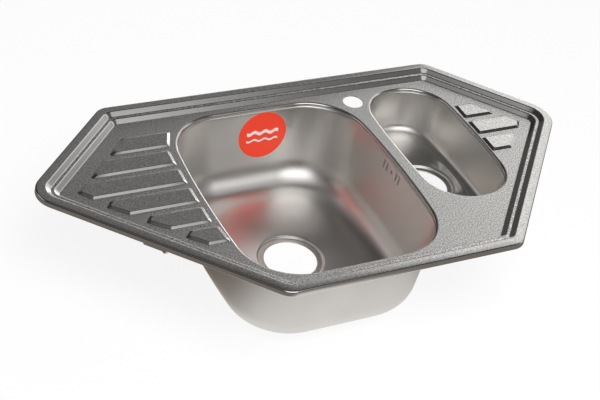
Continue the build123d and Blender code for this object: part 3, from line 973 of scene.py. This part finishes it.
    def wall_y(self, x: np.ndarray, z: np.ndarray) -> np.ndarray:
        """Y of the back wall: its end arc's centre plus the arc's reach at that X."""
        line, bend = self.section(z), self.section(z).end_radius()
        return line.y + line.length / 2 - bend + np.sqrt(bend ** 2 - (x - line.x) ** 2)

    def build(self) -> bpy.types.Object:
        """Inner and outer skins as one grid that closes both ways, with the overflow let in.

        Returns:
            The bowl's object.
        """
        inner = self.inner()
        outer = inner - ring_normals(inner) * SHEET
        shell = np.concatenate([inner, outer[::-1]])
        skin = Skin()
        skip = np.zeros(shell.shape[:2], bool)
        if self.slots:
            overflow = Overflow(self)
            rows, columns = overflow.block(inner)
            skip[rows[0]:rows[1], columns[0]:columns[1]] = True
            mirrored = len(shell) - 1
            skip[mirrored - rows[1]:mirrored - rows[0], columns[0]:columns[1]] = True
            overflow.cut(skin, inner, outer, rows, columns)
        skin.grid(shell, looped=True, skip=skip, mark=np.repeat([0.0, 1.0], len(inner)))
        return skin.build(self.name + "_shell", Mark.OUTSIDE)

    def dress(self, made: bpy.types.Object) -> None:
        """Gives the shell its steel and its place in the frame.

        Args:
            made: The bowl's object.
        """
        made.data.materials.append(BowlSteel().material())
        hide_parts(self.name)
        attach(made, "base")


@dataclass
class Overflow:
    """Slots and a screw hole through the right wall of a bowl."""

    bowl: Bowl
    y: float = -234.0
    z: float = -25.0
    shifts: tuple = (-25.0, -15.0, 15.0, 25.0)
    width: float = 3.5
    length: float = 14.5
    hole: float = 2.5
    reach_y: float = 34.0
    reach_z: float = 12.0
    points: int = 28
    clear: float = 1.2             # room round the slots without points of the wall's grid
    edges: tuple = ((1.5, 0.0), (1.0, 0.07), (0.5, 0.3), (0.15, 0.7), (0.0, 1.2), (0.0, 1.9), (0.6, 1.9),
                    (0.6, SHEET))  # section of the lining: how far each row is grown, and its depth

    def block(self, inner: np.ndarray) -> tuple[tuple[int, int], tuple[int, int]]:
        """Rows and columns of the wall's grid that the slots take.

        Args:
            inner: The bowl's inner grid.

        Returns:
            First and last row, and first and last column.
        """
        heights = self.bowl.wall_heights()
        rows = np.flatnonzero(np.abs(heights - self.z) < self.reach_z)
        side = inner[rows[0], :SIDE_POINTS, 1]
        columns = np.flatnonzero(np.abs(side - self.y) < self.reach_y)
        return (int(rows[0]), int(rows[-1])), (int(columns[0]), int(columns[-1]))

    def loops(self, grow: float) -> list[np.ndarray]:
        """Outlines of the slots and the hole, grown all round: two half circles a run apart.

        Args:
            grow: How far the outlines are grown.

        Returns:
            A loop of (Y, Z) for each slot, and one for the hole.
        """
        across, up = full_turn(self.points)
        radius = self.width / 2
        run = self.length / 2 - radius
        made = [np.stack([self.y + shift + (radius + grow) * across,
                          self.z + (radius + grow) * up + np.sign(np.round(up, 6)) * run], 1)
                for shift in self.shifts]
        made.append(np.stack([self.y + (self.hole + grow) * across, self.z + (self.hole + grow) * up], 1))
        return made

    def onto(self, plan: np.ndarray, depth: float) -> np.ndarray:
        """Points of the wall at Y and Z, sunk into the sheet."""
        y, z = plan[:, 0], plan[:, 1]
        return np.stack([self.bowl.wall_x(y, z) + depth, y, z], 1)

    def cut(self, skin: Skin, inner: np.ndarray, outer: np.ndarray, rows: tuple[int, int],
            columns: tuple[int, int]) -> None:
        """Fills the block again round the slots, on both skins, and lines their edges.

        Args:
            skin: Takes the new patches.
            inner: The bowl's inner grid.
            outer: The bowl's outer grid.
            rows: First and last row of the block.
            columns: First and last column of the block.
        """
        for grid, grow, side in ((inner, self.edges[0][0], 0.0), (outer, self.edges[-1][0], 1.0)):
            block = grid[rows[0]:rows[1] + 1, columns[0]:columns[1] + 1]
            border = np.concatenate([block[0, :-1], block[:-1, -1], block[-1, :0:-1], block[:0:-1, 0]])
            inside_points = block[1:-1, 1:-1].reshape(-1, 3)
            holes = self.loops(grow)
            free = ~np.any([inside(inside_points[:, 1:], loop) for loop in self.loops(grow + self.clear)], axis=0)
            holes_3d = [self.onto(loop, side * SHEET) for loop in holes]
            points = np.concatenate([border, *holes_3d, inside_points[free]])
            tris = fill(border[:, 1:], holes, inside_points[free][:, 1:])
            skin.add(points, tris if side else tris[:, ::-1], side)
        rings = [[self.onto(loop, depth) for loop in self.loops(grow)] for grow, depth in self.edges]
        for index in range(len(self.shifts) + 1):
            skin.grid(np.stack([ring[index] for ring in rings])[:, ::-1])


@dataclass
class Deck:
    """The pressed top: rim, floor, pads, tap hole and the openings' turned-down edges."""

    rim: Rim
    pads: Pads
    bowls: Sequence[Bowl]
    floor: float = -2.0
    fillet: float = 3.8
    flat: float = 0.3
    tap: Triple = (137.5, -60.7, 17.5)     # the tap hole's place and radius
    tap_flat: float = 1.0
    tap_drop: float = 0.7
    tap_round: float = 0.5
    tap_points: int = 64

    def build(self) -> bpy.types.Object:
        """Joins the rim's grid, the flat floor, the pads and the edges into one sheet.

        Returns:
            The deck's object.
        """
        skin = Skin()
        rim = self.rim.grid()
        skin.grid(rim, mark=lean(self.rim.line()))
        mouths = [bowl.mouth(self.fillet, self.flat, self.floor) for bowl in self.bowls]
        pads = self.pads.grids()
        x, y, radius = self.tap
        line = rounded_line(((radius + self.tap_flat, self.floor), (radius, self.floor),
                             (radius, self.floor - self.tap_drop)), (self.tap_round,), steps=5)
        across, up = full_turn(self.tap_points)
        circle = np.stack([x + line[:, :1] * across, y + line[:, :1] * up], -1)
        tap = lifted(circle, line[:, 1])
        for grid in [*mouths, tap]:
            skin.grid(grid, mark=np.r_[0.0, np.ones(len(grid) - 1)])
        for pad in pads:
            skin.grid(pad, mark=lean(self.pads.line()))
            skin.add(pad[-1], np.arange(pad.shape[1])[None])
        loops = [rim[-1], *(grid[0] for grid in [*mouths, *pads, tap])]
        tris = fill(loops[0][:, :2], [loop[:, :2] for loop in loops[1:]])
        skin.add(np.concatenate(loops), tris)
        made = skin.build("deck_sheet", Mark.WORN)
        wall = made.modifiers.new("sheet", "SOLIDIFY")
        wall.thickness, wall.offset, wall.use_even_offset = SHEET * MM, -1.0, True
        return made

    def dress(self, made: bpy.types.Object) -> None:
        """Gives the sheet its grainy steel and its place in the frame.

        Args:
            made: The deck's object.
        """
        made.data.materials.append(DecorSteel().material())
        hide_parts("deck")
        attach(made, "base")


@dataclass
class Label:
    """A round film on the main bowl's back wall."""

    bowl: Bowl
    x: float = -22.5
    z: float = -56.0
    radius: float = 45.0
    edge: float = 0.3              # width of the outermost ring
    edge_drop: float = 0.1
    lift: float = 0.22             # from the wall to the film's front
    thick: float = 0.15
    curl: float = 1.0              # how far the lower edge lifts
    curl_from: float = 18.0        # below the middle
    curl_reach: float = 26.0
    rings: int = 26
    points: int = 96

    def build(self) -> bpy.types.Object:
        """A disc of rings laid on the wall, its lower edge lifting a little, and closed behind.

        Returns:
            The label's object.
        """
        reach = np.r_[np.linspace(0, self.radius - self.edge, self.rings), self.radius]
        across, up = full_turn(self.points)
        x = self.x + reach[:, None] * across
        z = self.z + reach[:, None] * up
        flat = self.bowl.wall_y(x.reshape(-1), z.reshape(-1)).reshape(x.shape)
        low = np.clip((self.z - self.curl_from - z) / self.curl_reach, 0, 1)
        lift = self.lift + self.curl * low ** 2
        lift[-1] -= self.edge_drop
        front = np.stack([x, flat - lift, z], -1)
        rear = np.stack([x, flat - lift + self.thick, z], -1)
        skin = Skin()
        skin.grid(np.concatenate([front, rear[::-1]])[:, ::-1])
        return skin.build("label_film")

    def dress(self, made: bpy.types.Object) -> None:
        """Gives the film its print and its place in the frame.

        Args:
            made: The label's object.
        """
        made.data.materials.append(LabelFilm().material())
        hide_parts("label")
        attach(made, "base")


@dataclass
class SoundPad:
    """A felt ring glued under the main bowl's floor, following its dish."""

    bowl: Bowl
    inner: float = 66.0
    outer: float = 110.0
    thick: float = 2.5
    seam: float = 2.0              # where the closed section starts, outside its inner edge
    rounds: tuple = (0.2, 0.9, 0.9, 0.2)

    def build(self) -> bpy.types.Object:
        """A soft-edged band carried round the waste, its top against the floor.

        Returns:
            The pad's object.
        """
        seam = (self.inner + self.seam, 0.0)
        line = rounded_line((seam, (self.inner, 0.0), (self.inner, self.thick), (self.outer, self.thick),
                             (self.outer, 0.0), seam), self.rounds, steps=5)
        rings = self.bowl.under_floor(line[:-1, 0], line[:-1, 1])
        skin = Skin()
        skin.grid(rings, looped=True)
        return skin.build("sound_felt")

    def dress(self, made: bpy.types.Object) -> None:
        """Gives the band its felt and its place in the frame.

        Args:
            made: The pad's object.
        """
        made.data.materials.append(BitumenFelt().material())
        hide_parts("sound_pad")
        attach(made, "base")


@dataclass
class Fittings:
    """The pieces below the deck that keep their CAD shape: the seal and the clamps."""

    finishes: Mapping[str, Finish] = field(default_factory=lambda: {
        "rim_gasket": SealFoam(), "bracket": ZincPlate(),
        "claw": ZincPlate(), "washer": ZincPlate("washer_zinc", (0.60, 0.62, 0.64), 0.26),
        "screw": ZincPlate("screw_zinc", (0.72, 0.70, 0.66), 0.24)})

    def dress(self) -> None:
        """Puts each finish on the CAD nodes whose names start with its key."""
        for name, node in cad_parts.items():
            for start, finish in self.finishes.items():
                if name.startswith(start):
                    for slot in node.material_slots:
                        slot.material = finish.material()
                    LOG.info("%s dressed as %s", name, finish.name)


# ---------------------------------------- studio
BEHIND = 0.001                 # least cosine to a softbox, for rays that point away from it


@dataclass(frozen=True)
class Softbox:
    """A flat soft-edged sheet of light in the surroundings: where its middle is, its size and strength."""

    turn: float
    rise: float
    wide: float
    tall: float
    soft: float
    strength: float

    def axes(self) -> tuple[Vector, Vector, Vector]:
        """Unit vectors of the sheet; turn is from +Y towards +X.

        Returns:
            Its direction, and the ways along its width and along its height.
        """
        turn, rise = math.radians(self.turn), math.radians(self.rise)
        aim = Vector((math.sin(turn) * math.cos(rise), math.cos(turn) * math.cos(rise), math.sin(rise)))
        level = Vector((math.cos(turn), -math.sin(turn), 0.0))
        return aim, level, level.cross(aim)

    def light(self, tree: Tree, ray: Field) -> Field:
        """Its light along a ray: inside where the ray meets its plane within half the width and height.

        Args:
            tree: The world's tree.
            ray: The ray's direction.

        Returns:
            The strength seen.
        """
        aim, level, upright = self.axes()
        ahead, across, up = (tree.node("ShaderNodeVectorMath", {"operation": "DOT_PRODUCT"},
                                       {0: ray, 1: tuple(axis)}, "Value") for axis in (aim, level, upright))
        ahead = tree.math(Op.MAXIMUM, ahead, BEHIND)
        shares = []
        for part, size in ((across, self.wide), (up, self.tall)):
            edge, blur = math.tan(math.radians(size / 2)), math.tan(math.radians(self.soft))
            shares.append(1 - (part / ahead).abs().step(max(edge - blur, 0.0), edge + blur))
        return shares[0] * shares[1] * self.strength


@dataclass
class Studio:
    """Floor, surroundings, lamp and camera. Lengths here are metres, except the camera's place and lens."""

    floor_z: float = -0.1700
    floor_reach: float = 30.0
    floor_colour: Colour = (0.9, 0.9, 0.9)
    floor_light: float = 0.19          # seen in reflections, away from the pools
    pools: tuple = ((-0.05, -0.5, 0.18, 0.36, 0.9), (0.75, 0.75, 0.25, 0.6, 1.2),
                    (0.0, 0.2, 0.15, 0.5, 0.45))       # place, near and far edge, and light
    warm: Colour = (1.0, 0.84, 0.72)   # tint of the floor's dim parts
    white: Colour = (1.0, 1.0, 1.0)
    warm_span: Span = (0.2, 0.9)
    camera_share: float = 0.88         # of the glow in what the camera sees
    glossy_share: float = 0.94         # and in reflections
    dim: float = 0.05
    level: float = 0.8
    boxes: Sequence[Softbox] = tuple(Softbox(*row) for row in (
        (188.0, 44.0, 52.0, 34.0, 7.0, 2.5),
        (178.0, 72.0, 46.0, 20.0, 7.0, 1.0),
        (58.0, 22.0, 38.0, 46.0, 6.0, 1.2),
        (96.0, 24.0, 18.0, 26.0, 5.0, 1.5),
        (-62.0, 27.0, 36.0, 22.0, 6.0, 1.0),
        (28.0, 37.0, 36.0, 26.0, 7.0, 0.22),
        (28.0, 15.0, 20.0, 10.0, 3.0, 2.0),
        (116.0, 34.0, 22.0, 14.0, 5.0, 0.3),
        (-108.0, 62.0, 30.0, 14.0, 5.0, 0.3),
        (8.0, 6.0, 22.0, 8.0, 4.0, 0.08),
        (48.0, 8.0, 14.0, 10.0, 3.0, 4.5),
        (128.0, 45.0, 24.0, 14.0, 6.0, 0.18),
        (140.0, 12.0, 60.0, 14.0, 6.0, 0.5),
    ))
    lamp: float = 60.0
    lamp_size: float = 1.6
    lamp_place: Triple = (-0.1, -1.5, 2.3)
    lamp_aim: Triple = (0.0, -0.2, 0.0)
    camera_place: Triple = (-926.2, -1662.3, 1244.1)
    camera_turn: float = 31.80074
    camera_drop: float = 37.59657
    camera_roll: float = 10.38646
    sensor: float = 36.0
    lens: float = 78.539874
    clip: Span = (0.05, 100.0)

    def surroundings(self) -> None:
        """World: white to the camera, and a dim room with soft sheets of light to everything else."""
        world = bpy.data.worlds.new("studio")
        bpy.context.scene.world = world
        tree = Tree(world)
        ray = tree.node("ShaderNodeTexCoord", output="Generated")
        light = self.dim
        for box in self.boxes:
            light = box.light(tree, ray) + light
        path = tree.node("ShaderNodeLightPath", output="Is Camera Ray")
        shader = tree.node("ShaderNodeBackground", None, {
            "Color": self.white, "Strength": light * (1 - path) * self.level + path})
        tree.plug(tree.output.inputs["Surface"], shader)

    def floor(self) -> None:
        """A wide pale floor that keeps a soft shadow. Reflections see pools of light on it."""
        skin = Skin()
        square = np.array([(-1, -1), (1, -1), (1, 1), (-1, 1)]) * self.floor_reach / MM
        skin.add(lifted(square[None], np.array([self.floor_z / MM])), np.array([[0, 1, 2, 3]]))
        made = skin.build("floor")
        material = bpy.data.materials.new("floor")
        tree = Tree(material)
        x, y, _ = tree.axes(tree.place())
        shine: Value = self.floor_light
        for centre_x, centre_y, near, far, light in self.pools:
            away = tree.math(Op.SQRT, (x - centre_x) * (x - centre_x) + (y - centre_y) * (y - centre_y))
            shine = (1 - away.step(near, far)) * light + shine
        matt = tree.node("ShaderNodeBsdfDiffuse", None, {"Color": self.floor_colour})
        path = tree.node("ShaderNodeLightPath", output="Is Camera Ray")
        glossy = Field(tree, path.socket.node.outputs["Is Glossy Ray"])
        tint = tree.math(Op.MAXIMUM, path, shine.step(*self.warm_span)).blend(self.warm, self.white)
        glow = tree.node("ShaderNodeEmission", None, {
            "Color": tint, "Strength": path + shine * (1 - path)})
        share = path * self.camera_share + glossy * self.glossy_share
        mixed = tree.node("ShaderNodeMixShader", None, {0: share, 1: matt, 2: glow})
        tree.plug(tree.output.inputs["Surface"], mixed)
        made.data.materials.append(material)

    def overhead(self) -> None:
        """One large soft lamp above the front, for matt pieces and the floor's faint shadow."""
        light = bpy.data.lights.new("overhead", "AREA")
        light.shape, light.size, light.energy = "DISK", self.lamp_size, self.lamp
        made = bpy.data.objects.new("overhead", light)
        made.location = self.lamp_place
        made.rotation_euler = (Vector(self.lamp_aim) - made.location).to_track_quat("-Z", "Y").to_euler()
        made.visible_glossy = False
        bpy.context.scene.collection.objects.link(made)

    def camera(self) -> None:
        """The photograph's viewpoint: place, turn, drop, roll and focal length."""
        data = bpy.data.cameras.new("camera")
        data.sensor_width, data.lens = self.sensor, self.lens
        made = bpy.data.objects.new("camera", data)
        turn, drop, roll = (math.radians(part) for part in (self.camera_turn, self.camera_drop, self.camera_roll))
        ahead = Vector((math.sin(turn) * math.cos(drop), math.cos(turn) * math.cos(drop), -math.sin(drop)))
        level = Vector((math.cos(turn), -math.sin(turn), 0.0))
        upright = level.cross(ahead)
        right = level * math.cos(roll) + upright * math.sin(roll)
        up = right.cross(ahead)
        place = Vector(self.camera_place) * MM
        made.matrix_world = Matrix.Translation(place) @ Matrix((right, up, -ahead)).transposed().to_4x4()
        data.clip_start, data.clip_end = self.clip
        bpy.context.scene.collection.objects.link(made)
        bpy.context.scene.camera = made

    def build(self) -> None:
        """Sets up everything that isn't part of the sink."""
        self.surroundings()
        self.floor()
        self.overhead()
        self.camera()
        bpy.context.scene.view_settings.view_transform = "Standard"


def main() -> None:
    """Builds the sink's visible pieces in order, then the studio."""
    logging.basicConfig(level=logging.INFO, format="%(name)s: %(message)s")
    main_bowl = Bowl("main_bowl", x=-44.5, y=-244.5, width=341.5, length=405.5, side_bow=12.5, end_bow=2.0,
                     corner=91.0, foot_corner=102.0, left=1.0, right=11.0, front=5.0, back=9.0, foot_z=-155.0,
                     foot_round=42.0, drop=9.6, waste_shift=0.0, recess=57.0, slots=True)
    small_bowl = Bowl("small_bowl", x=229.0, y=-197.8, width=154.0, length=308.0, side_bow=8.0, end_bow=20.0,
                      corner=70.0, foot_corner=62.0, left=0.0, right=10.0, front=4.0, back=6.0, foot_z=-87.0,
                      foot_round=14.0, drop=11.0, waste_shift=-6.0, recess=55.0)
    deck = Deck(Rim(), Pads(), (main_bowl, small_bowl))
    label = Label(main_bowl)
    for piece in (deck, main_bowl, small_bowl, label, SoundPad(main_bowl)):
        piece.dress(piece.build())
    Fittings().dress()
    Studio().build()


if __name__ == "__main__":
    main()
